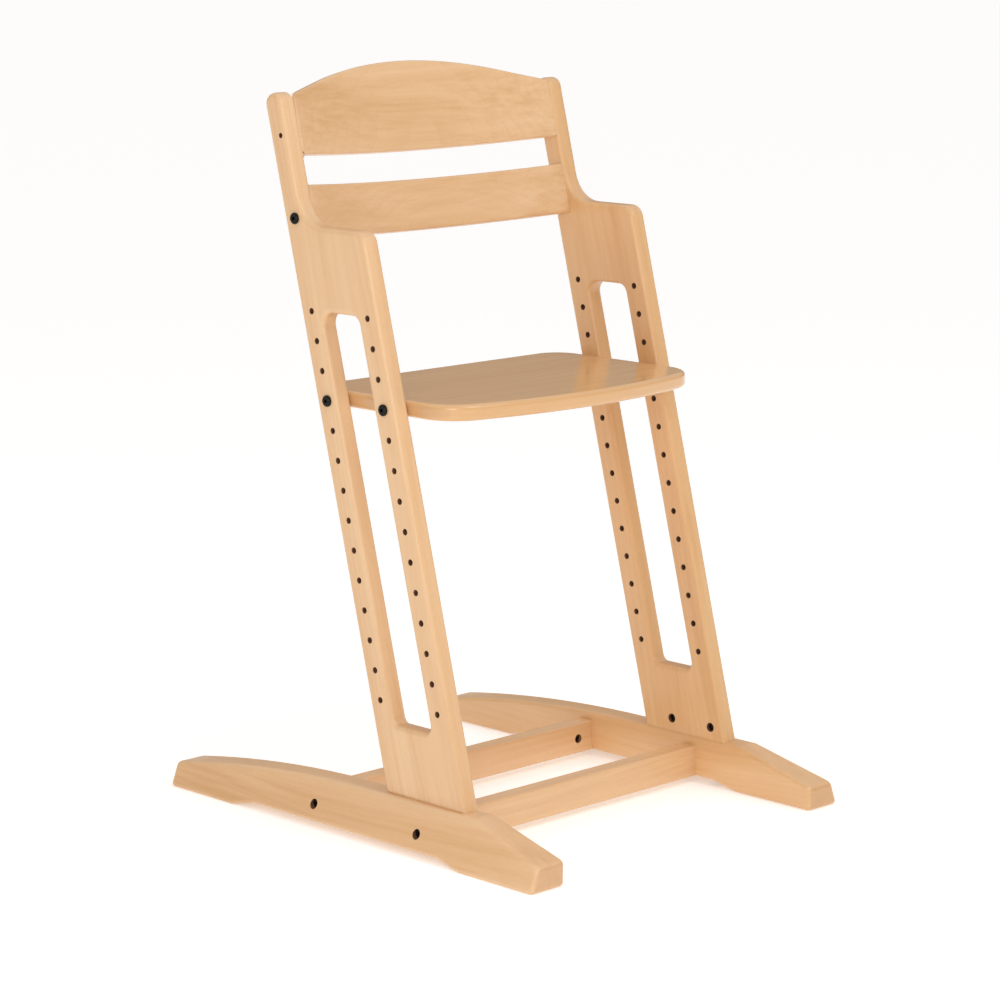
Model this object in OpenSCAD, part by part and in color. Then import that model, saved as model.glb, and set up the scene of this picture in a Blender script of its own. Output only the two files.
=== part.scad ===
// Wooden grow-along high chair: two leaning side frames on floor runners, tied
// by two crossbars and two bent back rails, with a seat that bolts to any row
// of holes. +Y points to the back of the chair, +Z up; the origin is on the
// floor, midway between the runners and between their ends.

/* [Overall] */
// Clear width between the two side frames
inner_w = 394; // [320:2:480]
// Length of each floor runner, front to back
runner_len = 592; // [490:1:720]
// Lean of the side frames, in degrees back from upright
lean = 14.3; // [8:0.1:18]

/* [Side frames] */
// Thickness of the frame boards
frame_t = 22; // [18:1:28]
// Distance between the two columns of seat holes, square to them
column_gap = 87; // [72:1:106]
// Wood behind the rear hole column
rear_margin = 18; // [15:0.5:24]
// Wood ahead of the front hole column
front_margin = 16; // [13:0.5:22]
// Wood between the rear hole column and the slot
slot_rear_margin = 14; // [10:0.5:20]
// Wood between the slot and the front hole column
slot_front_margin = 16.5; // [10:0.5:20]
// Width of the back posts
post_w = 27; // [24:0.5:34]
// Length of the back posts above the top hole row, along the lean
post_rise = 241; // [200:1:300]
// Height of the armrest above the top hole row
arm_rise = 92; // [70:1:120]
// Radius of the sweep from the armrest up to the back post
sweep_r = 40; // [20:1:60]
// Radius of the armrest's front corner
arm_corner_r = 16; // [8:1:24]
// Radius of the back post's top corners
post_corner_r = 12; // [6:0.5:12]
// Radius of the slot's top corners
slot_top_r = 13; // [8:1:18]
// Radius of the slot's bottom corners
slot_bottom_r = 8; // [4:1:16]
// Height of the slot's floor above the runners
slot_floor_h = 77.5; // [50:0.5:90]
// Distance from the runner's front end to the toe of the frame
toe_setback = 128; // [100:1:160]

/* [Seat holes] */
// Distance between hole rows, along the lean
hole_pitch = 33; // [27:0.5:40]
// Number of hole rows
hole_rows = 14; // [11:1:15]
// Height of the lowest row above the runners
low_row_h = 101.5; // [85:0.5:130]
// Diameter of each seat hole
seat_hole_d = 6.4; // [6.2:0.1:7]
// Row that the seat is bolted to, counted from the bottom
seat_row = 11; // [2:1:11]

/* [Seat] */
// Thickness of the seat board
seat_t = 18; // [15:0.5:24]
// Seat board behind the rear seat bolts
seat_behind = 58; // [45:1:75]
// Seat board ahead of the front seat bolts, on the centre line
seat_ahead = 103; // [80:1:130]
// Radius of the seat's bowed front edge
seat_front_r = 650; // [400:10:1200]
// Radius of the seat's front corners
seat_front_corner_r = 50; // [25:1:65]
// Radius of the seat's rear corners
seat_rear_corner_r = 35; // [15:1:50]
// Gap between the seat board and each side frame
seat_gap = 0.4; // [0.2:0.1:1]

/* [Back rails] */
// Thickness of the bent back rails
rail_t = 13; // [11:0.5:16]
// How far the rails bow backwards at the centre
rail_bow = 27; // [10:1:40]
// Height of the lower back rail
low_rail_h = 58; // [44:1:76]
// Height of the top back rail at its ends
top_rail_end_h = 67; // [54:1:86]
// Height of the crest above the top rail's ends
crest_rise = 36; // [24:0.5:56]
// Radius of the crest's middle
crest_r = 510; // [250:5:600]
// Gap between the two back rails
rail_gap = 33; // [20:1:50]
// Post left standing above the top rail's ends
post_stand = 4; // [2:1:12]

/* [Runners] */
// Width of the runners at the floor
runner_w = 51; // [42:1:62]
// Width of the runners at the top, where the outer face has leant inwards
runner_top_w = 29; // [26:1:40]
// Height of the runners under the frames
runner_h = 55.5; // [50:0.5:70]
// Height of the runner's front tip
front_tip_h = 27.5; // [18:0.5:40]
// Height of the runner's rear tip
rear_tip_h = 27.5; // [18:0.5:40]
// Level stretch of the runner ahead of the frame's toe
toe_flat = 24; // [0:1:60]
// Level stretch of the runner behind the frame's heel
heel_flat = 25; // [10:1:80]
// Length of the front foot pad
front_foot = 112; // [80:1:130]
// Length of the rear foot pad
rear_foot = 108; // [70:1:120]
// Length of the ramp from each foot pad up to the raised middle
foot_ramp = 36; // [24:1:80]
// Height of the raised middle above the floor
foot_lift = 7.5; // [3:0.5:9]

/* [Crossbars] */
// Thickness of the crossbars, front to back
bar_t = 22; // [18:1:28]
// Height of the crossbars
bar_h = 36.5; // [30:0.5:42]
// Gap between the crossbars and the floor
bar_floor = 7.5; // [5:0.5:14]
// Distance from the frame's toe back to the front crossbar's centre
front_bar_set = 56; // [50:1:60]
// Distance between the two crossbars' centres
bar_spacing = 166; // [135:1:200]

/* [Hardware] */
// Diameter of the bolt shanks
bolt_d = 6; // [5:0.5:6]
// Diameter of the visible flat bolt heads
head_d = 12.5; // [11:0.5:14]
// Height of the visible flat bolt heads
head_h = 3; // [2:0.5:4]
// Diameter of the sunk cap heads
cap_d = 10; // [9:0.5:11]
// Height of the sunk cap heads
cap_h = 6; // [5:0.5:7]
// Size of the hexagon socket, across its flats
socket_af = 4; // [3:0.5:5]
// Depth of each hexagon socket
socket_depth = 2.4; // [1.5:0.1:2.6]
// Diameter of the barrel nuts
nut_d = 10; // [9:0.5:11]
// Length of the barrel nuts
nut_len = 14; // [12:1:15]
// Diameter of the seat board's threaded inserts
seat_insert_d = 10; // [9:0.5:11]
// Length of the seat board's threaded inserts
seat_insert_len = 18; // [14:1:22]
// Diameter of the back rail's threaded inserts
rail_insert_d = 8; // [8:0.5:9]
// Length of the back rail's threaded inserts
rail_insert_len = 12; // [10:1:14]
// Diameter of the steel pins that hold the top rail
pin_d = 5; // [4:0.5:6]
// Length of those pins
pin_len = 26; // [22:1:28]
// Diameter of the thick dowels under the frames
big_dowel_d = 8; // [6:1:10]
// Length of the thick dowels
big_dowel_len = 40; // [30:2:44]
// Diameter of the thin dowels in the crossbars and rails
dowel_d = 6; // [5:0.5:6]
// Length of the thin dowels
dowel_len = 24; // [20:1:28]
// Depth of the counterbore for a sunk head in a runner's side
side_sink = 10; // [8:1:14]
// Depth of the counterbore for a sunk head under a runner
under_sink = 16; // [12:1:22]
// Distance from a crossbar's end to its barrel nut
bar_nut_set = 24; // [18:1:32]
// Distance of a crossbar's dowels above and below its bolt
bar_dowel_rise = 11; // [9:0.5:12]
// How far a bolt reaches past its barrel nut's axis
nut_grip = 4; // [3:0.5:5]
// Depth of the top rail's pins below the posts' outer faces
pin_sink = 8; // [6:1:10]
// Height of the frames' barrel nuts above the runners
frame_nut_h = 15; // [10:0.5:20]
// Distance from the frame's toe back to its front bolt
frame_bolt_set = 22.5; // [18:0.5:24]
// Distance between a frame's two bolts
frame_bolt_gap = 60; // [50:1:64]
// Distance from the frame's toe back to its front dowel
frame_dowel_set = 39.5; // [38:0.5:41]
// Distance between a frame's two dowels
frame_dowel_gap = 64; // [62:1:66]

/* [Clearances] */
// Radial clearance of a bolt in a plain hole
bolt_clear = 0.2; // [0.1:0.05:0.5]
// Radial clearance of a bolt in its thread
thread_clear = 0.05; // [0.02:0.01:0.1]
// Radial clearance of a sunk head in its counterbore
sink_clear = 0.5; // [0.3:0.1:1]
// Radial clearance of a dowel, pin, nut or insert in its hole
plug_clear = 0.05; // [0.02:0.01:0.1]
// Depth left free past the end of a blind fastener
end_clear = 1; // [0.5:0.5:2]

/* [Hidden] */

$fn = 96;
far = 1500;         // longer than any piece, for cutting tools
past = 1;           // how far a cutting tool runs past a face
arc_fn = 720;       // fine division for the longest curves
wood = "burlywood";
wood_light = "wheat";
steel_black = "dimgray";
steel_bright = "silver";

// Side frames. Along the lean, v runs backwards from the rear hole column,
// square to it, and w runs up it from the top of the runner.
inner_x = inner_w / 2;
frame_x = inner_x + frame_t / 2;
outer_x = inner_x + frame_t;
front_reach = column_gap + front_margin;
runner_front = -runner_len / 2;
runner_back = runner_len / 2;
toe_y = runner_front + toe_setback;
foot_y = toe_y + front_reach / cos(lean);
heel_y = foot_y + rear_margin / cos(lean);
column_step = column_gap / cos(lean);
pitch_z = hole_pitch * cos(lean);
top_row_h = low_row_h + (hole_rows - 1) * pitch_z;
top_row_w = top_row_h / cos(lean);
arm_z = runner_h + top_row_h + arm_rise;
slot_top_z = runner_h + top_row_h;
slot_floor_z = runner_h + slot_floor_h;
post_top_w = top_row_w + post_rise;
post_front_v = rear_margin - post_w;

function row_z(row) = runner_h + low_row_h + (row - 1) * pitch_z;
function row_y(row) = foot_y + (row_z(row) - runner_h) * tan(lean);

// Back rails, along w from the bottom of each to its top
top_rail_end_w = post_top_w - post_stand;
top_rail_w = top_rail_end_w - top_rail_end_h;
low_rail_top_w = top_rail_w - rail_gap;
low_rail_w = low_rail_top_w - low_rail_h;
// Bolts, pins and dowels sit at these shares of a rail's end height
bolt_share = 0.4;
pin_share = 0.35;
dowel_share = 0.75;
rail_bolt_w = low_rail_w + bolt_share * low_rail_h;
rail_pin_w = top_rail_w + pin_share * top_rail_end_h;
low_dowel_w = low_rail_w + dowel_share * low_rail_h;
top_dowel_w = top_rail_w + dowel_share * top_rail_end_h;
// The rail's middle line crosses the hole column at its inserts' half length
rail_cross_x = inner_x - rail_insert_len / 2;
rail_r = (pow(rail_cross_x, 2) + pow(rail_bow, 2)) / (2 * rail_bow);

// Seat
seat_z = row_z(seat_row);
rear_bolt_y = row_y(seat_row);
front_bolt_y = rear_bolt_y - column_step;
seat_x = inner_x - seat_gap;
seat_back_y = rear_bolt_y + seat_behind;
seat_front_y = front_bolt_y - seat_ahead;

// Runners, crossbars and hardware
fall_y = heel_y + heel_flat;
fall_drop = runner_h - rear_tip_h;
fall_run = runner_back - fall_y;
fall_r = (pow(fall_run, 2) + pow(fall_drop, 2)) / (2 * fall_drop);
bar_z = bar_floor + bar_h / 2;
front_bar_y = toe_y + front_bar_set;
rear_bar_y = front_bar_y + bar_spacing;
bar_ys = [front_bar_y, rear_bar_y];
// The runner's leaning outer face at the height of the crossbars' bolts
bolt_face_x = inner_x + runner_w - (runner_w - runner_top_w) * bar_z / runner_h;
bolt_seat_x = bolt_face_x - side_sink;
frame_bolt_ys = [toe_y + frame_bolt_set, toe_y + frame_bolt_set + frame_bolt_gap];
frame_dowel_ys = [toe_y + frame_dowel_set, toe_y + frame_dowel_set + frame_dowel_gap];
frame_nut_z = runner_h + frame_nut_h;
under_head_z = foot_lift + under_sink;
seat_shank = frame_t + seat_gap + seat_insert_len;
rail_shank = frame_t + rail_insert_len;

// Points of an arc, from one angle to another
function arc(middle, r, from, to, steps = 12) =
    [for (i = [0 : steps]) let (a = from + (to - from) * i / steps) middle + r * [cos(a), sin(a)]];

// Points that round the corner p, whose sides leave at angles a and b, from
// the side at a to the side at b
function rounded(p, a, b, r) =
    arc(p + r / sin((b - a) / 2) * [cos((a + b) / 2), sin((a + b) / 2)], r, a - 90, b - 270);

function reversed(points) = [for (i = [len(points) - 1 : -1 : 0]) points[i]];

// A point (v, w) along the lean, as (y, z)
function along(v, w) =
    [foot_y + v * cos(lean) + w * sin(lean), runner_h - v * sin(lean) + w * cos(lean)];

// Where the line at v along the lean passes height z
function lean_point(v, z) = [foot_y + v / cos(lean) + (z - runner_h) * tan(lean), z];

// Extrudes a side view, drawn as (y, z), from x = from_x over a width
module side_slab(from_x, width) {
    translate([from_x, 0, 0]) rotate([90, 0, 90]) linear_extrude(width) children();
}

// Extrudes a front view, drawn as (x, z), right through from front to back
module front_slab() {
    translate([0, far / 2, 0]) rotate([90, 0, 0]) linear_extrude(far) children();
}

// Places solids along the lean as (x, v, w)
module leaned_solid() {
    translate([0, foot_y, runner_h]) rotate([-lean, 0, 0]) children();
}

// A cylinder along +X from x = from_x
module rod_x(from_x, length, d) {
    translate([from_x, 0, 0]) rotate([0, 90, 0]) cylinder(h = length, d = d);
}

// Keeps the children on the left and adds the same on the right
module both_sides() {
    children();
    mirror([1, 0, 0]) children();
}

// ---- Side frames ----

// Side view, from the toe over the armrest and the post to the heel
module frame_2d() {
    polygon(concat(
        [[toe_y, runner_h]],
        rounded(lean_point(-front_reach, arm_z), -90 - lean, 0, arm_corner_r),
        reversed(rounded(lean_point(post_front_v, arm_z), 90 - lean, 180, sweep_r)),
        rounded(along(post_front_v, post_top_w), -90 - lean, -lean, post_corner_r),
        rounded(along(rear_margin, post_top_w), 180 - lean, 270 - lean, post_corner_r),
        [[heel_y, runner_h]]
    ));
}

// The long slot: its sides follow the lean and its ends are level
module slot_2d() {
    back_v = -slot_rear_margin;
    front_v = slot_front_margin - column_gap;
    polygon(concat(
        rounded(lean_point(front_v, slot_floor_z), 0, 90 - lean, slot_bottom_r),
        rounded(lean_point(front_v, slot_top_z), -90 - lean, 0, slot_top_r),
        rounded(lean_point(back_v, slot_top_z), 180, 270 - lean, slot_top_r),
        rounded(lean_point(back_v, slot_floor_z), 90 - lean, 180, slot_bottom_r)
    ));
}

module side_frame() {
    difference() {
        side_slab(inner_x, frame_t) difference() {
            frame_2d();
            slot_2d();
        }
        for (row = [1 : hole_rows], back = [0, column_step])
            translate([0, row_y(row) - back, row_z(row)])
                rod_x(inner_x - past, frame_t + 2 * past, seat_hole_d);
        frame_foot_holes();
        leaned_solid() post_holes();
    }
}

// Bores for the bolts, barrel nuts and dowels that stand the frame on its runner
module frame_foot_holes() {
    for (y = frame_bolt_ys) {
        translate([frame_x, y, runner_h - past])
            cylinder(h = frame_nut_h + nut_grip + end_clear + past, d = bolt_d + 2 * bolt_clear);
        translate([0, y, frame_nut_z])
            rod_x(inner_x - past, (frame_t + nut_len) / 2 + past, nut_d + 2 * plug_clear);
    }
    for (y = frame_dowel_ys)
        translate([frame_x, y, runner_h - past])
            cylinder(h = big_dowel_len / 2 + end_clear + past, d = big_dowel_d + 2 * plug_clear);
}

// Bores in the post for the back rails' bolts, pins and dowels
module post_holes() {
    translate([0, 0, rail_bolt_w])
        rod_x(inner_x - past, frame_t + 2 * past, bolt_d + 2 * bolt_clear);
    translate([0, 0, rail_pin_w])
        rod_x(inner_x - past, frame_t + 2 * past, pin_d + 2 * plug_clear);
    for (w = [low_dowel_w, top_dowel_w])
        translate([0, 0, w])
            rod_x(inner_x - past, dowel_len / 2 + end_clear + past, dowel_d + 2 * plug_clear);
}

module left_side_frame() { color(wood_light) mirror([1, 0, 0]) side_frame(); }
module right_side_frame() { color(wood_light) side_frame(); }

// ---- Runners ----

// Side view: level under the frame, sloping to the front tip, and falling to
// the rear tip in one long arc; the underside stands on two foot pads
module runner_2d() {
    difference() {
        union() {
            polygon([
                [runner_front, 0], [fall_y, 0], [fall_y, runner_h],
                [toe_y - toe_flat, runner_h], [runner_front, front_tip_h]
            ]);
            intersection() {
                translate([fall_y - past, 0]) square([fall_run + past, runner_h]);
                translate([fall_y, runner_h - fall_r]) circle(fall_r, $fn = arc_fn);
            }
        }
        polygon([
            [runner_front + front_foot, 0], [runner_front + front_foot, -past],
            [runner_back - rear_foot, -past], [runner_back - rear_foot, 0],
            [runner_back - rear_foot - foot_ramp, foot_lift],
            [runner_front + front_foot + foot_ramp, foot_lift]
        ]);
    }
}

// Front view: upright on the inside, leaning inwards on the outside
module runner_section_2d() {
    polygon([
        [inner_x, 0], [inner_x + runner_w, 0],
        [inner_x + runner_top_w, runner_h], [inner_x, runner_h]
    ]);
}

module runner() {
    difference() {
        intersection() {
            side_slab(inner_x, runner_w) runner_2d();
            front_slab() runner_section_2d();
        }
        for (y = bar_ys) translate([0, y, bar_z]) {
            rod_x(inner_x - past, runner_w + 2 * past, bolt_d + 2 * bolt_clear);
            rod_x(bolt_seat_x, runner_w, cap_d + 2 * sink_clear);
            for (rise = [-bar_dowel_rise, bar_dowel_rise])
                translate([0, 0, rise])
                    rod_x(inner_x - past, dowel_len / 2 + end_clear + past, dowel_d + 2 * plug_clear);
        }
        for (y = frame_bolt_ys) translate([frame_x, y, -past]) {
            cylinder(h = runner_h + 2 * past, d = bolt_d + 2 * bolt_clear);
            cylinder(h = under_head_z + past, d = cap_d + 2 * sink_clear);
        }
        for (y = frame_dowel_ys)
            translate([frame_x, y, runner_h - big_dowel_len / 2 - end_clear])
                cylinder(h = big_dowel_len, d = big_dowel_d + 2 * plug_clear);
    }
}

module left_runner() { color(wood) mirror([1, 0, 0]) runner(); }
module right_runner() { color(wood) runner(); }

// ---- Crossbars ----

// facing is the side that the barrel nuts' holes open to: 1 back, -1 front
module crossbar(y, facing) {
    translate([0, y, 0]) difference() {
        translate([-inner_x, -bar_t / 2, bar_floor]) cube([inner_w, bar_t, bar_h]);
        both_sides() translate([0, 0, bar_z]) {
            rod_x(inner_x - bar_nut_set - nut_grip - end_clear, far, bolt_d + 2 * bolt_clear);
            for (rise = [-bar_dowel_rise, bar_dowel_rise])
                translate([0, 0, rise])
                    rod_x(inner_x - dowel_len / 2 - end_clear, dowel_len, dowel_d + 2 * plug_clear);
            translate([inner_x - bar_nut_set, -facing * nut_len / 2, 0])
                rotate([-90 * facing, 0, 0]) cylinder(h = bar_t, d = nut_d + 2 * plug_clear);
        }
    }
}

module front_crossbar() { color(wood) crossbar(front_bar_y, 1); }
module rear_crossbar() { color(wood) crossbar(rear_bar_y, -1); }

// ---- Back rails ----

// A bowed board between the posts, from w = from_w up over a height
module bowed_board(from_w, height) {
    intersection() {
        translate([0, rail_bow - rail_r, from_w]) difference() {
            cylinder(h = height, r = rail_r + rail_t / 2, $fn = arc_fn);
            translate([0, 0, -past]) cylinder(h = height + 2 * past, r = rail_r - rail_t / 2, $fn = arc_fn);
        }
        translate([-inner_x, -far / 2, from_w]) cube([inner_w, far, height]);
    }
}

// Bores in the rail's ends
module rail_end_holes(metal_w, metal_d, metal_len, dowel_w) {
    both_sides() {
        translate([0, 0, metal_w])
            rod_x(inner_x - metal_len - end_clear, metal_len + end_clear + past, metal_d + 2 * plug_clear);
        translate([0, 0, dowel_w])
            rod_x(inner_x - dowel_len / 2 - end_clear, dowel_len, dowel_d + 2 * plug_clear);
    }
}

// The top rail's front view, drawn as (x, w): an arc with straight shoulders
// that run from the rail's ends to where they touch the arc. The arc is never
// flatter than the one that runs from end to end.
module crest_2d() {
    end_to_end_r = (pow(inner_x, 2) + pow(crest_rise, 2)) / (2 * crest_rise);
    r = min(crest_r, end_to_end_r);
    middle_w = top_rail_end_w + crest_rise - r;
    rise = r - crest_rise;
    touch = atan(rise / inner_x) + acos(min(1, r / norm([inner_x, rise])));
    polygon(concat(
        [[-inner_x, top_rail_w], [-inner_x, top_rail_end_w]],
        arc([0, middle_w], r, 180 - touch, touch, 36),
        [[inner_x, top_rail_end_w], [inner_x, top_rail_w]]
    ));
}

module top_back_rail() {
    color(wood) leaned_solid() difference() {
        intersection() {
            bowed_board(top_rail_w, top_rail_end_h + crest_rise);
            front_slab() crest_2d();
        }
        rail_end_holes(rail_pin_w, pin_d, pin_len + pin_sink - frame_t, top_dowel_w);
    }
}

module lower_back_rail() {
    color(wood) leaned_solid() difference() {
        bowed_board(low_rail_w, low_rail_h);
        rail_end_holes(rail_bolt_w, rail_insert_d, rail_insert_len, low_dowel_w);
    }
}

// ---- Seat ----

// Seen from above: a bowed front edge, wide front corners and round back corners
module seat_2d() {
    bow_y = seat_front_y + seat_front_r;
    inner_r = seat_front_r - seat_front_corner_r;
    corner_x = seat_x - seat_front_corner_r;
    corner_y = bow_y - sqrt(pow(inner_r, 2) - pow(corner_x, 2));
    spread = asin(corner_x / inner_r);
    back_x = seat_x - seat_rear_corner_r;
    back_y = seat_back_y - seat_rear_corner_r;
    polygon(concat(
        arc([0, bow_y], seat_front_r, -90 - spread, -90 + spread, 60),
        arc([corner_x, corner_y], seat_front_corner_r, -90 + spread, 0, 20),
        arc([back_x, back_y], seat_rear_corner_r, 0, 90, 20),
        arc([-back_x, back_y], seat_rear_corner_r, 90, 180, 20),
        arc([-corner_x, corner_y], seat_front_corner_r, 180, 270 - spread, 20)
    ));
}

module seat_plate() {
    color(wood) difference() {
        translate([0, 0, seat_z - seat_t / 2]) linear_extrude(seat_t) seat_2d();
        for (y = [rear_bolt_y, front_bolt_y])
            both_sides() translate([0, y, seat_z])
                rod_x(seat_x - seat_insert_len - end_clear, far, seat_insert_d + 2 * plug_clear);
    }
}

// A threaded insert along X whose mouth is at x = mouth_x
module insert(mouth_x, length, d) {
    difference() {
        rod_x(mouth_x - length, length, d);
        rod_x(mouth_x - length - past, length + 2 * past, bolt_d + 2 * thread_clear);
    }
}

module seat_inserts() {
    color(steel_bright) for (y = [rear_bolt_y, front_bolt_y])
        both_sides() translate([0, y, seat_z]) insert(seat_x, seat_insert_len, seat_insert_d);
}

// ---- Bolts, nuts, pins and dowels ----

// A bolt along -Z with a flat head above z = 0 and a hexagon socket in it
module flat_bolt(shank) {
    chamfer = head_h / 3;
    difference() {
        union() {
            translate([0, 0, -shank]) cylinder(h = shank + past, d = bolt_d);
            rotate_extrude() polygon([
                [0, 0], [head_d / 2, 0], [head_d / 2, head_h - chamfer],
                [head_d / 2 - chamfer, head_h], [0, head_h]
            ]);
        }
        hex_socket(head_h);
    }
}

// A bolt along -Z with a sunk cap head above z = 0
module cap_bolt(shank) {
    difference() {
        union() {
            translate([0, 0, -shank]) cylinder(h = shank + past, d = bolt_d);
            cylinder(h = cap_h, d = cap_d);
        }
        hex_socket(cap_h);
    }
}

module hex_socket(top) {
    translate([0, 0, top - socket_depth])
        cylinder(h = socket_depth + past, d = socket_af / cos(30), $fn = 6);
}

// A barrel nut along +Z, centred, crossed by its bolt's hole along X
module barrel_nut() {
    difference() {
        translate([0, 0, -nut_len / 2]) cylinder(h = nut_len, d = nut_d);
        rod_x(-nut_d, 2 * nut_d, bolt_d + 2 * thread_clear);
    }
}

// side is 1 for the right bolt and -1 for the left one
module seat_bolt(side, y) {
    color(steel_black) translate([side * outer_x, y, seat_z])
        rotate([0, side * 90, 0]) flat_bolt(seat_shank);
}

module front_left_seat_bolt() { seat_bolt(-1, front_bolt_y); }
module rear_left_seat_bolt() { seat_bolt(-1, rear_bolt_y); }
module front_right_seat_bolt() { seat_bolt(1, front_bolt_y); }
module rear_right_seat_bolt() { seat_bolt(1, rear_bolt_y); }

module lower_rail_bolts() {
    color(steel_black) leaned_solid() both_sides()
        translate([outer_x, 0, rail_bolt_w]) rotate([0, 90, 0]) flat_bolt(rail_shank);
}

module lower_rail_inserts() {
    color(steel_bright) leaned_solid() both_sides()
        translate([0, 0, rail_bolt_w]) insert(inner_x, rail_insert_len, rail_insert_d);
}

module top_rail_pins() {
    color(steel_bright) leaned_solid() both_sides()
        translate([0, 0, rail_pin_w]) rod_x(outer_x - pin_sink - pin_len, pin_len, pin_d);
}

module rail_dowels() {
    color(wood_light) leaned_solid() both_sides() for (w = [low_dowel_w, top_dowel_w])
        translate([0, 0, w]) rod_x(inner_x - dowel_len / 2, dowel_len, dowel_d);
}

module crossbar_bolts(y) {
    shank = bolt_seat_x - inner_x + bar_nut_set + nut_grip;
    color(steel_black) both_sides() translate([bolt_seat_x, y, bar_z])
        rotate([0, 90, 0]) cap_bolt(shank);
}

module front_crossbar_bolts() { crossbar_bolts(front_bar_y); }
module rear_crossbar_bolts() { crossbar_bolts(rear_bar_y); }

module crossbar_barrel_nuts() {
    color(steel_bright) both_sides() for (y = bar_ys)
        translate([inner_x - bar_nut_set, y, bar_z]) rotate([-90, 0, 0]) barrel_nut();
}

module crossbar_dowels() {
    color(wood_light) both_sides() for (y = bar_ys, rise = [-bar_dowel_rise, bar_dowel_rise])
        translate([0, y, bar_z + rise]) rod_x(inner_x - dowel_len / 2, dowel_len, dowel_d);
}

// side is 1 for the right frame and -1 for the left one
module frame_bolts(side) {
    shank = frame_nut_z + nut_grip - under_head_z;
    color(steel_black) for (y = frame_bolt_ys)
        translate([side * frame_x, y, under_head_z]) rotate([180, 0, 0]) cap_bolt(shank);
}

module left_frame_bolts() { frame_bolts(-1); }
module right_frame_bolts() { frame_bolts(1); }

module frame_barrel_nuts() {
    color(steel_bright) both_sides() for (y = frame_bolt_ys)
        translate([frame_x, y, frame_nut_z]) rotate([0, 90, 0]) barrel_nut();
}

module frame_dowels() {
    color(wood_light) both_sides() for (y = frame_dowel_ys)
        translate([frame_x, y, runner_h - big_dowel_len / 2]) cylinder(h = big_dowel_len, d = big_dowel_d);
}

left_side_frame();
right_side_frame();
left_runner();
right_runner();
front_crossbar();
rear_crossbar();
top_back_rail();
lower_back_rail();
seat_plate();
seat_inserts();
front_left_seat_bolt();
rear_left_seat_bolt();
front_right_seat_bolt();
rear_right_seat_bolt();
lower_rail_bolts();
lower_rail_inserts();
top_rail_pins();
rail_dowels();
front_crossbar_bolts();
rear_crossbar_bolts();
crossbar_barrel_nuts();
crossbar_dowels();
left_frame_bolts();
right_frame_bolts();
frame_barrel_nuts();
frame_dowels();
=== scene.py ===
"""Looks of the wooden high chair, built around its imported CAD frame, in metres."""

import math

import bmesh
import bpy
import numpy as np
from mathutils import Matrix, Vector


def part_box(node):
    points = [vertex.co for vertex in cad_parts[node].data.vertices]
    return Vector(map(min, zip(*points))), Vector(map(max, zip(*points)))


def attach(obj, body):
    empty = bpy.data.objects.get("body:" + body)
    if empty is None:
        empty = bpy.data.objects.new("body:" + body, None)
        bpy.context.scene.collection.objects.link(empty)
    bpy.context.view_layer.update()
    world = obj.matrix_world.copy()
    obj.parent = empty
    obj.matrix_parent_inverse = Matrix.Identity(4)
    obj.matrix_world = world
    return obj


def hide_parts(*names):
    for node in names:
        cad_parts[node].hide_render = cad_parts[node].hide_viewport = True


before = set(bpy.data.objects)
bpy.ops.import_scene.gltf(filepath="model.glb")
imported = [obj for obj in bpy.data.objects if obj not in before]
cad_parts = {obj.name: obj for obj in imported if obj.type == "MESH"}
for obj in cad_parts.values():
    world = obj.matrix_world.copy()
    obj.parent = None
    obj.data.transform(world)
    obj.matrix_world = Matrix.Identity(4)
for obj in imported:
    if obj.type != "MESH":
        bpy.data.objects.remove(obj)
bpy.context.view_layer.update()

X, Y, Z = 0, 1, 2
FLAT = 2e-5            # how far a vertex may be off a flat face's plane
TOUCHING = 1e-4        # how near two measures are the same
ROUND_STEPS = 6        # divisions of a rounded edge
CORNER_STEPS = 8       # divisions of a runner's upright corner
BORE_SIDES = 40
CHAMFER = 0.0004       # on the rim of each bore
CUT_PAST = 0.0006      # how far a bore's cutter reaches out of the wood
COUNTERBORE_PAST = 0.01    # the same, for a counterbore in a sloping face
LEAN = math.radians(14.3)
FRAME_EDGE = 0.0058
SEAT_EDGE = 0.0055
RAIL_EDGE = 0.0032
BAR_EDGE = 0.0025
RUNNER_EDGE = 0.0050
RUNNER_CORNER = 0.0066
CAP_HEIGHT = 0.006     # of the sunk bolt heads
SINK_CLEAR = 0.0005    # between a sunk head and its counterbore
RAIL_END = 0.0035      # how far the rails reach behind the posts' rounded edges
RAIL_CORNER = 0.0045   # of the rails' upright front edges, at the posts
FRAME_SINK = 0.0028    # how deep the frames' rounded feet settle, which leaves a fine groove


# ---- Reading shapes off the CAD nodes ----

def welded(node, turn=None):
    """A CAD node's corners, with doubles joined and turned if asked, and its faces."""
    bm = bmesh.new()
    bm.from_mesh(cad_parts[node].data)
    bmesh.ops.remove_doubles(bm, verts=bm.verts, dist=1e-5)
    bm.verts.index_update()
    co = np.array([turn @ v.co if turn else v.co for v in bm.verts], float)
    faces = [[v.index for v in f.verts] for f in bm.faces]
    bm.free()
    return co, faces


def face_loops(node, axis, top, turn=None):
    """The loops that bound a node's flat face at one end of an axis, as (n, 2) arrays.
    The outline comes first and runs anticlockwise; the holes run clockwise."""
    co, faces = welded(node, turn)
    keep = [i for i in (X, Y, Z) if i != axis]
    level = co[:, axis].max() if top else co[:, axis].min()
    edges = {}
    for ring in faces:
        if abs(co[ring, axis] - level).max() > FLAT:
            continue
        for a, b in zip(ring, ring[1:] + ring[:1]):
            if (b, a) in edges:
                del edges[(b, a)]
            else:
                edges[(a, b)] = True
    follow = dict(edges.keys())
    loops = []
    while follow:
        start, at = follow.popitem()
        ring = [start]
        while at != start:
            ring.append(at)
            at = follow.pop(at)
        loops.append(co[ring][:, keep])
    loops.sort(key=lambda p: -abs(area(p)))
    return [p if (area(p) > 0) == (i == 0) else p[::-1] for i, p in enumerate(loops)]


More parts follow.
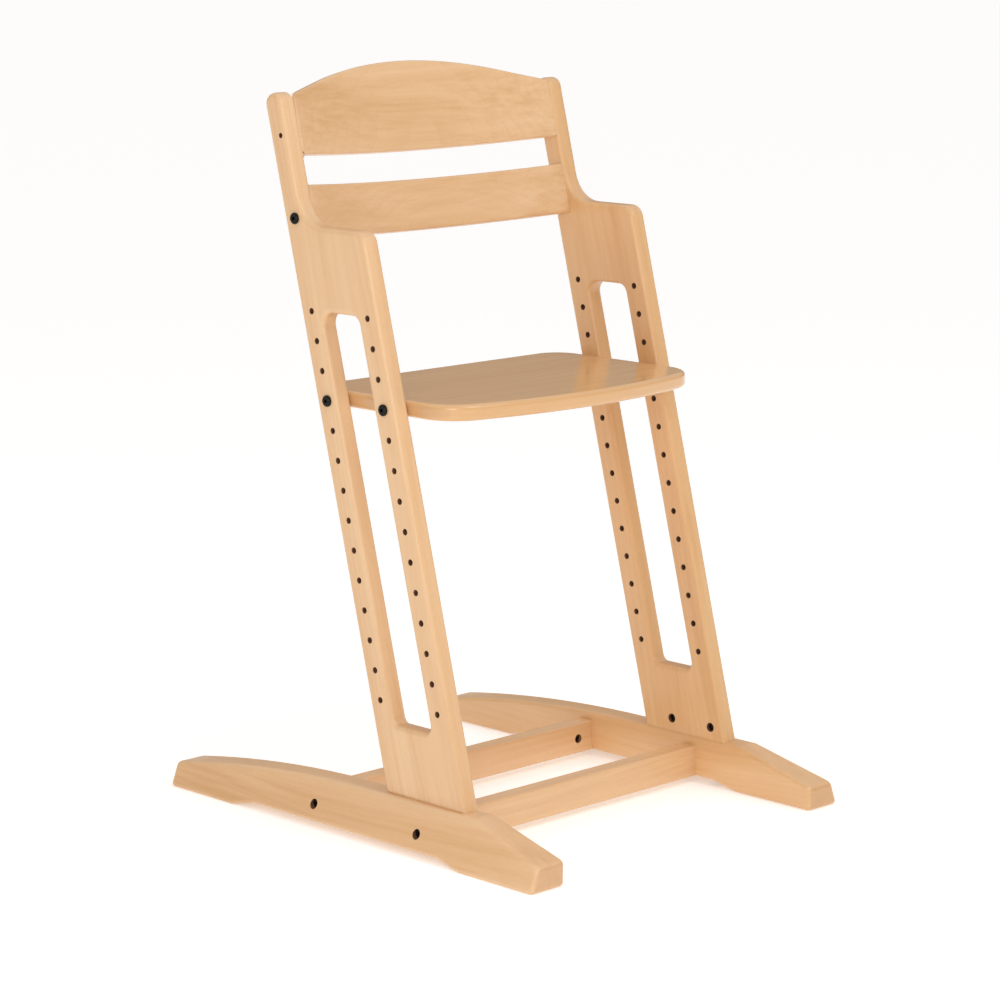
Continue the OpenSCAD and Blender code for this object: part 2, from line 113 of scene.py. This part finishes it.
def area(p):
    x, y = p[:, 0], p[:, 1]
    return 0.5 * float(np.sum(x * np.roll(y, -1) - np.roll(x, -1) * y))


def as_circle(p):
    """(centre, radius) if the loop is round, else None."""
    centre = (p.min(0) + p.max(0)) / 2
    r = np.linalg.norm(p - centre, axis=1)
    return (centre, r.mean()) if len(p) > 15 and np.ptp(r) < TOUCHING else None


def bores(node, sides):
    """The round bores that open in a node's flat sides, as (axis, mouth, bottom, centre, radius).
    sides holds (axis, top) pairs. A bore right through is given once."""
    found = []
    co, _ = welded(node)
    for axis, top in sides:
        keep = [i for i in (X, Y, Z) if i != axis]
        for loop in face_loops(node, axis, top)[1:]:
            circle = as_circle(loop)
            if not circle:
                continue
            centre, r = circle
            on_wall = abs(np.linalg.norm(co[:, keep] - centre, axis=1) - r) < TOUCHING
            levels = co[on_wall, axis]
            mouth, bottom = (levels.max(), levels.min()) if top else (levels.min(), levels.max())
            seen = any(f[0] == axis and np.allclose(f[3], centre, atol=TOUCHING)
                       and abs(f[1] - bottom) < TOUCHING for f in found)
            if not seen:
                found.append((axis, mouth, bottom, centre, r))
    return found


# ---- Making boards ----

def inset(loop, distance, flush):
    """Moves a loop's edges inwards; flush[i] keeps the edge from point i to the next where it is."""
    step = np.roll(loop, -1, axis=0) - loop
    step /= np.linalg.norm(step, axis=1)[:, None]
    normal = np.stack([-step[:, 1], step[:, 0]], axis=1)
    move = np.where(flush, 0.0, distance)
    out = np.empty_like(loop)
    for i in range(len(loop)):
        n0, n1, d0, d1 = normal[i - 1], normal[i], move[i - 1], move[i]
        cross = n0[0] * n1[1] - n0[1] * n1[0]
        if abs(cross) < 1e-3:
            n = n0 + n1
            out[i] = loop[i] + n / (n @ n) * (d0 + d1)
        else:
            out[i] = loop[i] + np.array([d0 * n1[1] - d1 * n0[1], d1 * n0[0] - d0 * n1[0]]) / cross
    return out


def board(name, loops, place, low, high, edge, material, flush=None):
    """A board over 2D loops between two heights, with its long edges rounded.
    place turns (u, v, height) into a point; low and high are numbers or functions of the points."""
    def level(what, p):
        return what(p) if callable(what) else np.full(len(p), what)

    angles = [math.pi / 2 * i / ROUND_STEPS for i in range(ROUND_STEPS + 1)]
    profile = [(edge * (1 - math.sin(a)), edge * (1 - math.cos(a))) for a in angles]
    bm = bmesh.new()
    caps = [[], []]
    for loop in loops:
        flat = flush(loop, np.roll(loop, -1, axis=0)) if flush else np.zeros(len(loop), bool)
        rings = []
        for base, sign, steps in ((low, 1, profile), (high, -1, profile[::-1])):
            for side, depth in steps:
                p = inset(loop, side, flat)
                h = level(base, p) + sign * depth
                rings.append([bm.verts.new(place(u, v, w)) for (u, v), w in zip(p, h)])
        count = len(loop)
        for a, b in zip(rings, rings[1:]):
            for i in range(count):
                j = (i + 1) % count
                bm.faces.new((a[i], a[j], b[j], b[i]))
        for cap, ring in zip(caps, (rings[0], rings[-1])):
            cap += [bm.edges.get((ring[i], ring[(i + 1) % count])) for i in range(count)]
    for cap in caps:
        bmesh.ops.triangle_fill(bm, use_beauty=True, use_dissolve=False, edges=cap)
    bmesh.ops.remove_doubles(bm, verts=bm.verts, dist=1e-6)
    bmesh.ops.recalc_face_normals(bm, faces=bm.faces)
    mesh = bpy.data.meshes.new(name)
    bm.to_mesh(mesh)
    bm.free()
    mesh.materials.append(material)
    piece = bpy.data.objects.new(name, mesh)
    bpy.context.scene.collection.objects.link(piece)
    return piece


def drill(piece, holes):
    """Cuts the bores, each with a chamfered rim, out of a board."""
    if not holes:
        return
    bm = bmesh.new()
    for axis, mouth, bottom, centre, r in holes:
        keep = [i for i in (X, Y, Z) if i != axis]
        inward = math.copysign(1, bottom - mouth)
        span = thickness(piece, axis)
        through = abs(bottom - mouth) > span - TOUCHING
        flare = r + CHAMFER + CUT_PAST
        rings = [(mouth - inward * CUT_PAST, flare), (mouth + inward * CHAMFER, r)]
        if through:
            rings += [(bottom - inward * CHAMFER, r), (bottom + inward * CUT_PAST, flare)]
        else:
            rings += [(bottom, r)]
        made = []
        for at, radius in rings:
            ring = []
            for i in range(BORE_SIDES):
                a = 2 * math.pi * i / BORE_SIDES
                p = [0.0, 0.0, 0.0]
                p[axis] = at
                p[keep[0]] = centre[0] + radius * math.cos(a)
                p[keep[1]] = centre[1] + radius * math.sin(a)
                ring.append(bm.verts.new(p))
            made.append(ring)
        for a, b in zip(made, made[1:]):
            for i in range(BORE_SIDES):
                j = (i + 1) % BORE_SIDES
                bm.faces.new((a[i], a[j], b[j], b[i]))
        bm.faces.new(made[0])
        bm.faces.new(made[-1])
    bmesh.ops.recalc_face_normals(bm, faces=bm.faces)
    mesh = bpy.data.meshes.new("bores")
    bm.to_mesh(mesh)
    bm.free()
    # the cut walls take the dark bore material, which paints shade inside the holes
    mesh.materials.append(bore_wall_shade)
    cutter = bpy.data.objects.new("bores", mesh)
    bpy.context.scene.collection.objects.link(cutter)
    cut = piece.modifiers.new("bores", "BOOLEAN")
    cut.object = cutter
    cut.operation = "DIFFERENCE"
    cut.solver = "EXACT"
    cut.material_mode = "TRANSFER"
    graph = bpy.context.evaluated_depsgraph_get()
    new = bpy.data.meshes.new_from_object(piece.evaluated_get(graph))
    piece.modifiers.clear()
    old = piece.data
    piece.data = new
    new.name = piece.name
    bpy.data.meshes.remove(old)
    bpy.data.objects.remove(cutter)
    bpy.data.meshes.remove(mesh)


def thickness(piece, axis):
    values = [v.co[axis] for v in piece.data.vertices]
    return max(values) - min(values)


def islands(node):
    """The (low, high) corners of each separate solid in a CAD node."""
    co, faces = welded(node)
    group = list(range(len(co)))

    def head(i):
        while group[i] != i:
            i = group[i]
        return i

    for ring in faces:
        for i in ring[1:]:
            group[head(i)] = head(ring[0])
    heads = np.array([head(i) for i in range(len(co))])
    return [(co[heads == h].min(0), co[heads == h].max(0)) for h in np.unique(heads)]


def finish_wood(piece, node, body="frame", sharp=33):
    for polygon in piece.data.polygons:
        polygon.use_smooth = True
    piece.data.set_sharp_from_angle(angle=math.radians(sharp))
    shade = piece.modifiers.new("shade", "WEIGHTED_NORMAL")
    shade.keep_sharp = True
    shade.weight = 80
    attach(piece, body)
    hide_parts(node)


# ---- Materials ----

class Graph:
    """A short way to write a node material."""

    def __init__(self, name):
        self.material = bpy.data.materials.new(name)
        self.material.use_nodes = True
        self.tree = self.material.node_tree
        self.tree.nodes.clear()
        self.shader = self.add("ShaderNodeBsdfPrincipled")
        out = self.tree.nodes.new("ShaderNodeOutputMaterial")
        self.tree.links.new(self.shader.outputs[0], out.inputs[0])
        self.place = self.add("ShaderNodeTexCoord").outputs["Object"]

    def add(self, kind, *values, **settings):
        """Adds a node. values fill its inputs in order, None skipping one; named ones go by name."""
        node = self.tree.nodes.new(kind)
        named = {k: v for k, v in settings.items() if not hasattr(node, k)}
        for key, value in settings.items():
            if key not in named:
                setattr(node, key, value)
        pairs = list(enumerate(values)) + [(k.replace("_", " "), v) for k, v in named.items()]
        for key, value in pairs:
            if value is None:
                continue
            if isinstance(value, bpy.types.NodeSocket):
                self.tree.links.new(value, node.inputs[key])
            else:
                node.inputs[key].default_value = value
        return node

    def maths(self, operation, *values):
        return self.add("ShaderNodeMath", *values, operation=operation).outputs[0]

    def scaled(self, vector, scale, move=(0, 0, 0)):
        return self.add("ShaderNodeMapping", vector, move, (0, 0, 0), scale).outputs[0]

    def noise(self, vector, detail=2.0, roughness=0.5):
        node = self.add("ShaderNodeTexNoise", noise_dimensions="3D")
        self.tree.links.new(vector, node.inputs["Vector"])
        node.inputs["Scale"].default_value = 1.0
        node.inputs["Detail"].default_value = detail
        node.inputs["Roughness"].default_value = roughness
        return node.outputs["Fac"]

    def ramp(self, value, *stops):
        """A colour ramp; each stop is (position, colour)."""
        node = self.add("ShaderNodeValToRGB", value)
        ramp = node.color_ramp
        while len(ramp.elements) < len(stops):
            ramp.elements.new(0.5)
        for element, (position, colour) in zip(ramp.elements, stops):
            element.position = position
            element.color = linear(colour)
        return node.outputs[0]

    def span(self, value, low, high, to_low=0.0, to_high=1.0):
        return self.add("ShaderNodeMapRange", value, low, high, to_low, to_high).outputs[0]

    def mix(self, share, a, b, blend="MIX"):
        node = self.add("ShaderNodeMix", data_type="RGBA", blend_type=blend)
        for key, value in ((0, share), (6, a), (7, b)):
            if isinstance(value, bpy.types.NodeSocket):
                self.tree.links.new(value, node.inputs[key])
            elif value is not None:
                node.inputs[key].default_value = value if key == 0 else linear(value)
        return node.outputs[2]

    def into(self, **inputs):
        for key, value in inputs.items():
            socket = self.shader.inputs[key.replace("_", " ")]
            if isinstance(value, bpy.types.NodeSocket):
                self.tree.links.new(value, socket)
            else:
                socket.default_value = value


def linear(colour):
    """An sRGB colour, 0 to 255, as linear RGBA."""
    if max(colour) <= 1.0:
        return tuple(colour)[:3] + (1.0,)
    c = [v / 255 for v in colour]
    return tuple(v / 12.92 if v <= 0.04045 else ((v + 0.055) / 1.055) ** 2.4 for v in c) + (1.0,)


def beech(name, turn, seed, pale, mid, deep, gloss=0.34, coat=0.35, streak=1.0, grain=1.0):
    """Clear-lacquered beech. turn brings the grain to the local Z axis. streak and grain
    set how strongly the wide bands and the fine fibres show."""
    g = Graph(name)
    local = g.add("ShaderNodeMapping", g.place, tuple(seed), turn, (1, 1, 1)).outputs[0]
    # slow wander of the grain lines
    wander = g.add("ShaderNodeTexNoise", noise_dimensions="3D")
    g.tree.links.new(g.scaled(local, (9, 9, 1.6)), wander.inputs["Vector"])
    wander.inputs["Scale"].default_value = 1.0
    wander.inputs["Detail"].default_value = 1.0
    shift = g.add("ShaderNodeVectorMath", wander.outputs["Color"], (0.5, 0.5, 0.5),
                  operation="SUBTRACT").outputs[0]
    shift = g.add("ShaderNodeVectorMath", shift, (0.05, 0.05, 0.0), operation="MULTIPLY").outputs[0]
    bent = g.add("ShaderNodeVectorMath", local, shift, operation="ADD").outputs[0]
    # growth rings around a far heart
    parts = g.add("ShaderNodeSeparateXYZ", bent)
    across = g.maths("ADD", parts.outputs[0], 0.11)
    through = g.maths("ADD", parts.outputs[1], 0.07)
    radius = g.maths("SQRT", g.maths("ADD", g.maths("MULTIPLY", across, across),
                                     g.maths("MULTIPLY", through, through)))
    saw = g.maths("FRACT", g.maths("MULTIPLY", radius, 270.0))
    ring = g.maths("POWER", saw, 3.0)
    wide = g.noise(g.scaled(bent, (22, 22, 1.3)), 2.0, 0.55)
    streaks = g.noise(g.scaled(bent, (150, 150, 5)), 2.0, 0.6)
    fibres = g.noise(g.scaled(local, (1400, 1400, 45)), 1.0, 0.5)
    cloud = g.noise(g.scaled(local, (7, 7, 4)), 1.0, 0.5)
    # short ray flecks, lying along the grain
    cells = g.add("ShaderNodeTexVoronoi", feature="F1", distance="EUCLIDEAN", voronoi_dimensions="3D")
    g.tree.links.new(g.scaled(local, (620, 620, 190)), cells.inputs["Vector"])
    cells.inputs["Scale"].default_value = 1.0
    near = g.span(cells.outputs["Distance"], 0.12, 0.34, 1.0, 0.0)
    chosen = g.maths("GREATER_THAN", g.add("ShaderNodeSeparateXYZ", cells.outputs["Color"]).outputs[0], 0.45)
    fleck = g.maths("MULTIPLY", near, chosen)

    tone = g.maths("ADD", g.maths("MULTIPLY", wide, 0.62), g.maths("MULTIPLY", streaks, 0.38))
    spread = 0.24 / streak
    colour = g.ramp(g.span(tone, 0.5 - spread, 0.5 + spread), (0.0, deep), (0.45, mid), (1.0, pale))
    colour = g.mix(g.maths("MULTIPLY", ring, 0.16 * streak), colour, deep)
    colour = g.mix(g.span(cloud, 0.35, 0.7, 0.0, 0.35), colour, mid)
    colour = g.mix(g.maths("MULTIPLY", fleck, 0.15 * grain), colour, (172, 120, 76))
    colour = g.mix(g.span(fibres, 0.4, 0.75, 0.0, 0.09 * grain), colour, (247, 222, 188))
    # end grain drinks more lacquer and is darker
    normal = g.add("ShaderNodeMapping", g.tree.nodes["Texture Coordinate"].outputs["Normal"],
                   (0, 0, 0), turn, (1, 1, 1)).outputs[0]
    along = g.maths("ABSOLUTE", g.add("ShaderNodeSeparateXYZ", normal).outputs[2])
    end = g.span(along, 0.75, 0.98, 0.0, 0.42)
    colour = g.mix(end, colour, (196, 148, 102))

    rough = g.span(streaks, 0.3, 0.7, gloss - 0.04, gloss + 0.05)
    rough = g.maths("ADD", rough, g.maths("MULTIPLY", fleck, 0.05))
    height = g.maths("ADD", g.maths("MULTIPLY", fibres, 0.5),
                     g.maths("SUBTRACT", g.maths("MULTIPLY", streaks, 0.35), g.maths("MULTIPLY", fleck, 0.4)))
    bump = g.add("ShaderNodeBump")
    bump.inputs["Strength"].default_value = 0.09 * grain
    bump.inputs["Distance"].default_value = 0.0004
    g.tree.links.new(height, bump.inputs["Height"])
    g.into(Base_Color=colour, Roughness=rough, Normal=bump.outputs[0], IOR=1.5,
           Coat_Weight=coat, Coat_Roughness=0.16, Coat_IOR=1.5)
    return g.material


def metal(name, dark, light, rough, metallic, scale=420.0):
    """Plated or blackened steel with a slightly uneven finish."""
    g = Graph(name)
    patch = g.noise(g.scaled(g.place, (scale, scale, scale)), 3.0, 0.6)
    fine = g.noise(g.scaled(g.place, (scale * 9,) * 3), 2.0, 0.5)
    g.into(Base_Color=g.ramp(patch, (0.3, dark), (0.7, light)), Metallic=metallic,
           Roughness=g.span(fine, 0.3, 0.7, rough - 0.06, rough + 0.08))
    bump = g.add("ShaderNodeBump")
    bump.inputs["Strength"].default_value = 0.15
    bump.inputs["Distance"].default_value = 0.0002
    g.tree.links.new(fine, bump.inputs["Height"])
    g.into(Normal=bump.outputs[0])
    return g.material


LEFT_TONES = (240, 204, 161), (231, 188, 141), (216, 166, 115)      # pale, middle and deep
# The right side is the same beech as the left, with its tones darkened as painted shade for the light it gets
# less of.
RIGHT_TONES_PAINTED_SHADE = (236, 196, 148), (226, 180, 128), (212, 160, 106)
RAIL_TONES = (240, 204, 161), (230, 188, 141), (214, 165, 113)
SEAT_TONES = (234, 190, 138), (224, 177, 123), (212, 162, 108)
# dark brown for the bore walls: painted shade inside the holes
BORE_TONES_PAINTED_SHADE = (128, 88, 58), (104, 68, 44), (84, 54, 34)
UP_THE_LEAN = (LEAN, 0, 0)
ALONG_X = (0, -math.pi / 2, 0)
ALONG_Y = (math.pi / 2, 0, 0)

beech_left = beech("beech_left_frame", UP_THE_LEAN, (0.3, 0.1, 0.0), *LEFT_TONES)
# the right frame and right runner carry the darker tones: painted shade on the same beech
beech_right_shaded = beech("beech_right_frame", UP_THE_LEAN, (1.3, 0.4, 0.2), *RIGHT_TONES_PAINTED_SHADE)
beech_runner_left = beech("beech_left_runner", ALONG_Y, (2.2, 0.7, 0.1), *LEFT_TONES)
beech_runner_right_shaded = beech("beech_right_runner", ALONG_Y, (3.1, 1.7, 0.5), *RIGHT_TONES_PAINTED_SHADE)
beech_bar = beech("beech_crossbars", ALONG_X, (0.9, 2.7, 0.3), *LEFT_TONES)
beech_top = beech("beech_top_rail", ALONG_X, (1.9, 3.3, 0.3), *RAIL_TONES, streak=1.2)
beech_low = beech("beech_lower_rail", ALONG_X, (4.4, 3.9, 0.6), *RAIL_TONES, streak=1.2)
beech_seat = beech("beech_seat", ALONG_X, (5.2, 1.1, 0.8), *SEAT_TONES,
                   gloss=0.18, coat=0.6, streak=0.5, grain=0.25)
# the bore walls are painted dark as shade inside the holes
bore_wall_shade = beech("beech_bore_wall", ALONG_X, (7.2, 2.1, 0.4), *BORE_TONES_PAINTED_SHADE, gloss=0.7, coat=0.0)
beech_dowel = beech("beech_dowels", ALONG_X, (6.2, 0.1, 0.8), *LEFT_TONES, gloss=0.55, coat=0.0)
black_bolt = metal("black_bolt", (10, 10, 11), (20, 19, 19), 0.32, 0.6)
zinc_metal = metal("zinc_metal", (150, 150, 150), (196, 196, 194), 0.36, 1.0)


# ---- Side frames ----

def across_x(u, v, w):
    return (w, u, v)


def across_y(u, v, w):
    return (u, w, v)


def across_z(u, v, w):
    return (u, v, w)


def side_frame(node, material, outer_top):
    low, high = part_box(node)
    loops = [p for p in face_loops(node, X, outer_top) if not as_circle(p)]
    outline = loops[0]
    foot = outline[:, 1] < low.z + FLAT
    outline[foot, 1] -= FRAME_SINK
    outline[foot, 0] -= FRAME_SINK * math.tan(LEAN)
    piece = board(node + "_wood", loops, across_x, low.x, high.x, FRAME_EDGE, material)
    drill(piece, bores(node, [(X, outer_top), (X, not outer_top)]))
    finish_wood(piece, node)


side_frame("left_side_frame", beech_left, False)
side_frame("right_side_frame", beech_right_shaded, True)


# ---- Runners ----

def runner(node, bolts, material, side):
    """side is 1 for the right runner and -1 for the left one."""
    low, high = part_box(node)
    co, _ = welded(node)
    inner = abs(co[:, X]).min()
    floor_width = abs(co[:, X]).max() - inner
    top_width = abs(co[co[:, Z] > high.z - FLAT, X]).max() - inner
    outline = face_loops(node, X, side < 0)[0]
    ys = np.unique(np.round(outline[:, 0], 5))

    def crossing(y, pick):
        """The outline's lowest or highest point at y."""
        a, b = outline, np.roll(outline, -1, axis=0)
        hit = (np.minimum(a[:, 0], b[:, 0]) <= y + 1e-6) & (np.maximum(a[:, 0], b[:, 0]) >= y - 1e-6)
        z = []
        for p, q in zip(a[hit], b[hit]):
            run = q[0] - p[0]
            z += [p[1], q[1]] if abs(run) < 1e-6 else [p[1] + (q[1] - p[1]) * (y - p[0]) / run]
        return pick(z)

    def place(u, v, w):
        """Leans the outer face inwards by narrowing the runner towards its top."""
        width = floor_width + (top_width - floor_width) * w / high.z
        return (side * (inner + (abs(u) - inner) * width / floor_width), v, w)

    under = np.array([crossing(y, min) for y in ys])
    over = np.array([crossing(y, max) for y in ys])
    turn = [math.pi / 2 * i / CORNER_STEPS for i in range(CORNER_STEPS + 1)]
    r = RUNNER_CORNER
    plan = []
    for cx, cy, start in ((high.x - r, high.y - r, 0), (low.x + r, high.y - r, 1),
                          (low.x + r, low.y + r, 2), (high.x - r, low.y + r, 3)):
        angles = [a + start * math.pi / 2 for a in turn]
        plan.append([(cx + r * math.cos(a), cy + r * math.sin(a)) for a in angles])
    inner_ys = [y for y in ys if low.y + r + TOUCHING < y < high.y - r - TOUCHING]
    ring = plan[0] + plan[1] + [(low.x, y) for y in reversed(inner_ys)]
    ring += plan[2] + plan[3] + [(high.x, y) for y in inner_ys]
    piece = board(node + "_wood", [np.array(ring)], place,
                  lambda p: np.interp(p[:, 1], ys, under), lambda p: np.interp(p[:, 1], ys, over),
                  RUNNER_EDGE, material)
    holes = []
    for bolt_node in ("front_crossbar_bolts", "rear_crossbar_bolts"):
        for near, far in islands(bolt_node):
            if side * near[X] > 0:
                seat_x = side * (max(abs(near[X]), abs(far[X])) - CAP_HEIGHT)
                mouth = side * (inner + floor_width + COUNTERBORE_PAST)
                holes.append((X, mouth, seat_x, (near + far)[[Y, Z]] / 2, (far - near)[Z] / 2 + SINK_CLEAR))
    for near, far in islands(bolts):
        mouth = low.z - COUNTERBORE_PAST
        holes.append((Z, mouth, near[Z] + CAP_HEIGHT, (near + far)[[X, Y]] / 2,
                      (far - near)[X] / 2 + SINK_CLEAR))
    drill(piece, holes)
    finish_wood(piece, node)


runner("left_runner", "left_frame_bolts", beech_runner_left, -1)
runner("right_runner", "right_frame_bolts", beech_runner_right_shaded, 1)


# ---- Crossbars ----

def crossbar(node, nuts_behind):
    low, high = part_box(node)
    loops = [np.array([(low.x, low.z), (high.x, low.z), (high.x, high.z), (low.x, high.z)])]

    def on_runner(a, b):
        return abs(a[:, 0] - b[:, 0]) < FLAT

    piece = board(node + "_wood", loops, across_y, low.y, high.y, BAR_EDGE, beech_bar, on_runner)
    drill(piece, bores(node, [(Y, nuts_behind)]))
    finish_wood(piece, node)


crossbar("front_crossbar", True)
crossbar("rear_crossbar", False)


# ---- Back rails ----

TO_LEAN = Matrix.Rotation(LEAN, 3, "X")      # turns the lean upright
FROM_LEAN = TO_LEAN.inverted()


def upper_edge(points):
    """The upper side of the points' convex outline, from left to right."""
    edge = []
    for p in sorted(map(tuple, points)):
        while len(edge) > 1:
            (ax, ay), (bx, by) = edge[-2:]
            if (bx - ax) * (p[1] - ay) < (by - ay) * (p[0] - ax):
                break
            edge.pop()
        edge.append(p)
    return np.array(edge)


def rounded_corner(before, corner, after, r):
    """Points of an arc that rounds a corner."""
    a = (before - corner) / np.linalg.norm(before - corner)
    b = (after - corner) / np.linalg.norm(after - corner)
    half = math.acos(float(a @ b)) / 2
    start, end = corner + a * r / math.tan(half), corner + b * r / math.tan(half)
    middle = corner + (a + b) / np.linalg.norm(a + b) * r / math.sin(half)
    points = []
    for i in range(ROUND_STEPS + 1):
        p = start + (end - start) * i / ROUND_STEPS - middle
        points.append(middle + p / np.linalg.norm(p) * r)
    return points


def rail(node, material):
    co, _ = welded(node, TO_LEAN)
    outline = face_loops(node, Z, False, TO_LEAN)[0]
    wide = abs(outline[:, 0]).max()
    top = upper_edge(co[:, [X, Z]])
    ends = abs(abs(outline[:, 0]) - wide) < FLAT
    outline[ends, 0] *= (wide + RAIL_END) / wide
    front = outline[ends, 1].min()
    shape = []
    for i, p in enumerate(outline):
        if ends[i] and p[1] < front + FLAT:
            shape += rounded_corner(outline[i - 1], p, outline[(i + 1) % len(outline)], RAIL_CORNER)
        else:
            shape.append(p)
    outline = np.array(shape)

    def on_post(a, b):
        return (abs(a[:, 0]) > wide + FLAT) & (abs(b[:, 0]) > wide + FLAT)

    def place(u, v, w):
        return FROM_LEAN @ Vector((u, v, w))

    piece = board(node + "_wood", [outline], place, co[:, Z].min(),
                  lambda p: np.interp(p[:, 0], top[:, 0], top[:, 1]), RAIL_EDGE, material, on_post)
    finish_wood(piece, node)


rail("top_back_rail", beech_top)
rail("lower_back_rail", beech_low)


# ---- Seat ----

low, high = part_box("seat_plate")
seat = board("seat_plate_wood", face_loops("seat_plate", Z, True)[:1], across_z, low.z, high.z,
             SEAT_EDGE, beech_seat)
drill(seat, bores("seat_plate", [(X, True), (X, False)]))
finish_wood(seat, "seat_plate", body="seat")


# ---- Metal and dowels: the CAD's own shapes, softened ----

def dress(node, material, soften=0.00025):
    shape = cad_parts[node]
    if not shape.material_slots:
        shape.data.materials.append(material)
    for place in shape.material_slots:
        place.material = material
    weld = shape.modifiers.new("weld", "WELD")
    weld.merge_threshold = 1e-6
    bevel = shape.modifiers.new("bevel", "BEVEL")
    bevel.width = soften
    bevel.segments = 2
    bevel.limit_method = "ANGLE"
    bevel.angle_limit = math.radians(35)


for name in ("front_left_seat_bolt", "rear_left_seat_bolt", "front_right_seat_bolt", "rear_right_seat_bolt",
             "lower_rail_bolts", "front_crossbar_bolts", "rear_crossbar_bolts",
             "left_frame_bolts", "right_frame_bolts", "crossbar_barrel_nuts", "frame_barrel_nuts"):
    dress(name, black_bolt)
for name in ("seat_inserts", "lower_rail_inserts", "top_rail_pins"):
    dress(name, zinc_metal)
for name in ("rail_dowels", "crossbar_dowels", "frame_dowels"):
    dress(name, beech_dowel)


# ---- Floor, light and camera ----

def floor():
    bm = bmesh.new()
    bmesh.ops.create_grid(bm, x_segments=4, y_segments=4, size=40.0)
    mesh = bpy.data.meshes.new("floor")
    bm.to_mesh(mesh)
    bm.free()
    plane = bpy.data.objects.new("floor", mesh)
    bpy.context.scene.collection.objects.link(plane)
    g = Graph("floor_paint")
    grain = g.noise(g.scaled(g.place, (90, 90, 90)), 2.0, 0.5)
    g.into(Base_Color=g.ramp(grain, (0.3, (247, 247, 246)), (0.7, (251, 251, 250))), Roughness=0.85)
    g.shader.inputs["Specular IOR Level"].default_value = 0.1
    g.shader.inputs["Emission Color"].default_value = (0.94, 0.98, 1.0, 1)
    g.shader.inputs["Emission Strength"].default_value = 0.32
    mesh.materials.append(g.material)


def area_light(name, place, size, power):
    light = bpy.data.lights.new(name, "AREA")
    light.shape = "DISK"
    light.size = size
    light.energy = power
    lamp = bpy.data.objects.new(name, light)
    lamp.location = place
    lamp.rotation_euler = (Vector(LIT_POINT) - Vector(place)).to_track_quat("-Z", "Y").to_euler()
    lamp.visible_camera = False
    bpy.context.scene.collection.objects.link(lamp)


def studio_sky():
    """Soft white light overhead that fades to a dim, warm room at the horizon."""
    world = bpy.data.worlds.new("studio")
    bpy.context.scene.world = world
    world.use_nodes = True
    tree = world.node_tree
    place = tree.nodes.new("ShaderNodeTexCoord")
    parts = tree.nodes.new("ShaderNodeSeparateXYZ")
    glow = tree.nodes.new("ShaderNodeMix")
    glow.data_type = "RGBA"
    tree.links.new(place.outputs["Generated"], parts.inputs[0])
    tree.links.new(parts.outputs["Z"], glow.inputs[0])
    glow.inputs[6].default_value = SKY_LOW
    glow.inputs[7].default_value = SKY_HIGH
    tree.links.new(glow.outputs[2], tree.nodes["Background"].inputs["Color"])


SKY_LOW = (0.26, 0.17, 0.08, 1)
SKY_HIGH = (0.96, 0.97, 1.0, 1)
LIT_POINT = (0, 0, 0.4)

floor()
area_light("key", (-1.7, -1.3, 1.1), 1.2, 10)
area_light("front", (0.3, -2.0, 2.5), 1.6, 13)
studio_sky()

bpy.context.scene.view_settings.view_transform = "Standard"

lens = bpy.data.cameras.new("camera")
lens.lens = 116.5
lens.sensor_width = 36.0
lens.clip_end = 100
camera = bpy.data.objects.new("camera", lens)
camera.location = (-2.5253, -2.5575, 1.0208)
camera.rotation_euler = (math.radians(90 - 10.656), 0, math.radians(-44.627))
bpy.context.scene.collection.objects.link(camera)
bpy.context.scene.camera = camera
